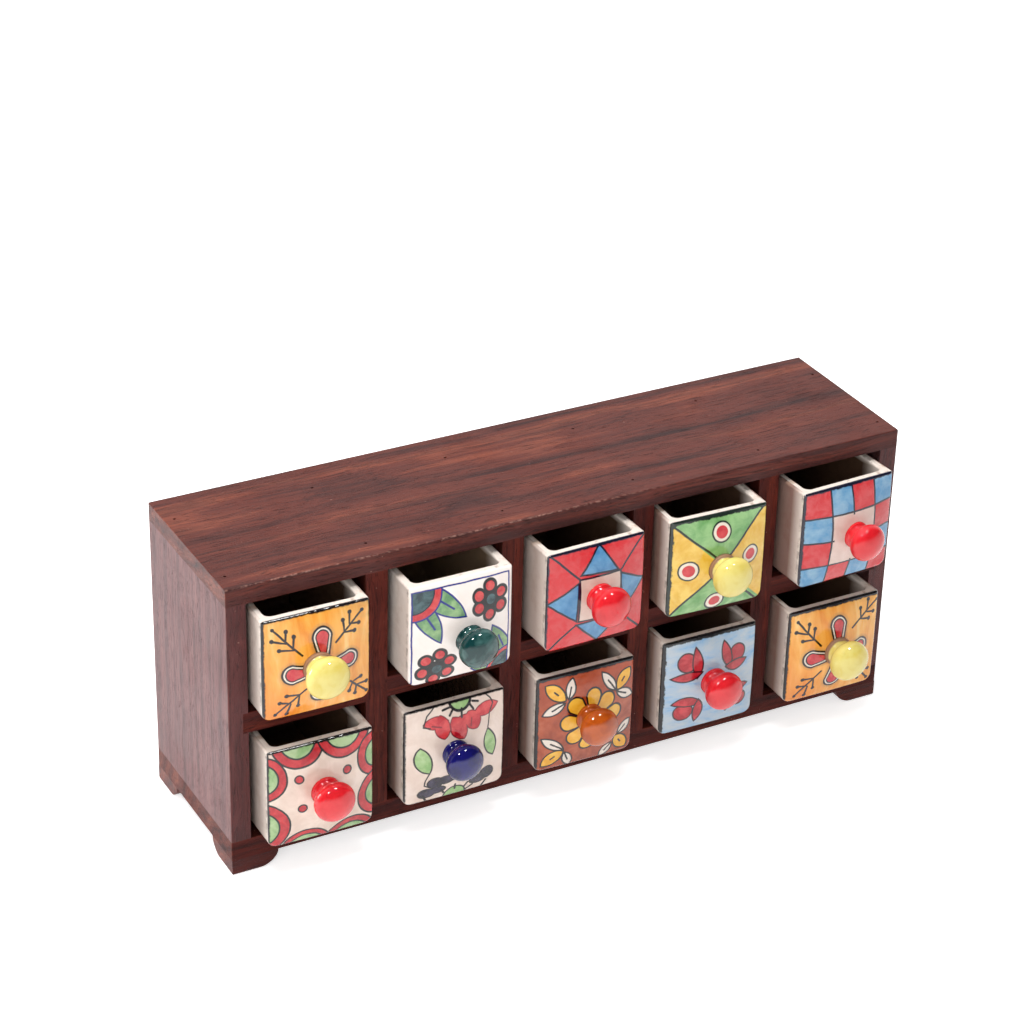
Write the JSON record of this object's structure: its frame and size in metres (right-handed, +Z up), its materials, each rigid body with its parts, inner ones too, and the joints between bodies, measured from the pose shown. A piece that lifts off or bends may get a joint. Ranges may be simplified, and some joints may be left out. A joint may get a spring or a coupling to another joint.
{
  "type": "chest of drawers",
  "caption": "Long, shallow tabletop hardwood chest with two rows of square ceramic drawers that slide out by round knobs, standing on block feet.",
  "frame": {"origin": "on the floor under the middle of the box round the whole chest as it stands, knobs included", "axes": "+X along the chest to the viewer's right, +Y from the drawer faces to the back, +Z up"},
  "size_m": [0.406, 0.1408, 0.1745],
  "materials": {
    "case_wood": "satin",
    "back_wood": "matte",
    "steel": "satin",
    "glaze_upper_1": "gloss",
    "glaze_lower_1": "gloss",
    "glaze_upper_2": "gloss",
    "glaze_lower_2": "gloss",
    "glaze_upper_3": "gloss",
    "glaze_lower_3": "gloss",
    "glaze_upper_4": "gloss",
    "glaze_lower_4": "gloss",
    "glaze_upper_5": "gloss",
    "glaze_lower_5": "gloss",
    "knob_yellow": "gloss",
    "knob_red": "gloss",
    "knob_teal": "gloss",
    "knob_blue": "gloss",
    "knob_orange": "gloss"
  },
  "bodies": {
    "case": {"top_board": "case_wood", "base_board": "case_wood", "side_left": "case_wood", "side_right": "case_wood", "back_panel": "back_wood", "divider_1": "case_wood", "divider_2": "case_wood", "divider_3": "case_wood", "divider_4": "case_wood", "shelf_1": "case_wood", "shelf_2": "case_wood", "shelf_3": "case_wood", "shelf_4": "case_wood", "shelf_5": "case_wood", "foot_front_left": "case_wood", "foot_rear_left": "case_wood", "foot_front_right": "case_wood", "foot_rear_right": "case_wood", "top_pins": "steel", "base_pins": "steel", "back_pins": "steel"},
    "upper_drawer_1": {"drawer_upper_1": "glaze_upper_1", "knob_upper_1": "knob_yellow", "knob_screw_upper_1": "steel"},
    "upper_drawer_2": {"drawer_upper_2": "glaze_upper_2", "knob_upper_2": "knob_teal", "knob_screw_upper_2": "steel"},
    "upper_drawer_3": {"drawer_upper_3": "glaze_upper_3", "knob_upper_3": "knob_red", "knob_screw_upper_3": "steel"},
    "upper_drawer_4": {"drawer_upper_4": "glaze_upper_4", "knob_upper_4": "knob_yellow", "knob_screw_upper_4": "steel"},
    "upper_drawer_5": {"drawer_upper_5": "glaze_upper_5", "knob_upper_5": "knob_red", "knob_screw_upper_5": "steel"},
    "lower_drawer_1": {"drawer_lower_1": "glaze_lower_1", "knob_lower_1": "knob_red", "knob_screw_lower_1": "steel"},
    "lower_drawer_2": {"drawer_lower_2": "glaze_lower_2", "knob_lower_2": "knob_blue", "knob_screw_lower_2": "steel"},
    "lower_drawer_3": {"drawer_lower_3": "glaze_lower_3", "knob_lower_3": "knob_orange", "knob_screw_lower_3": "steel"},
    "lower_drawer_4": {"drawer_lower_4": "glaze_lower_4", "knob_lower_4": "knob_red", "knob_screw_lower_4": "steel"},
    "lower_drawer_5": {"drawer_lower_5": "glaze_lower_5", "knob_lower_5": "knob_yellow", "knob_screw_lower_5": "steel"}
  },
  "joints": [
    {"name": "upper_drawer_1_slide", "type": "slide", "parent": "case", "child": "upper_drawer_1", "axis": [0, -1, 0], "range_m": [-0.0073, 0.059]},
    {"name": "upper_drawer_2_slide", "type": "slide", "parent": "case", "child": "upper_drawer_2", "axis": [0, -1, 0], "range_m": [-0.01, 0.056]},
    {"name": "upper_drawer_3_slide", "type": "slide", "parent": "case", "child": "upper_drawer_3", "axis": [0, -1, 0], "range_m": [-0.0099, 0.055]},
    {"name": "upper_drawer_4_slide", "type": "slide", "parent": "case", "child": "upper_drawer_4", "axis": [0, -1, 0], "range_m": [-0.0087, 0.056]},
    {"name": "upper_drawer_5_slide", "type": "slide", "parent": "case", "child": "upper_drawer_5", "axis": [0, -1, 0], "range_m": [-0.0106, 0.054]},
    {"name": "lower_drawer_1_slide", "type": "slide", "parent": "case", "child": "lower_drawer_1", "axis": [0, -1, 0], "range_m": [-0.0084, 0.058]},
    {"name": "lower_drawer_2_slide", "type": "slide", "parent": "case", "child": "lower_drawer_2", "axis": [0, -1, 0], "range_m": [-0.0055, 0.061]},
    {"name": "lower_drawer_3_slide", "type": "slide", "parent": "case", "child": "lower_drawer_3", "axis": [0, -1, 0], "range_m": [-0.0071, 0.059]},
    {"name": "lower_drawer_4_slide", "type": "slide", "parent": "case", "child": "lower_drawer_4", "axis": [0, -1, 0], "range_m": [-0.0052, 0.061]},
    {"name": "lower_drawer_5_slide", "type": "slide", "parent": "case", "child": "lower_drawer_5", "axis": [0, -1, 0], "range_m": [-0.0078, 0.059]}
  ]
}
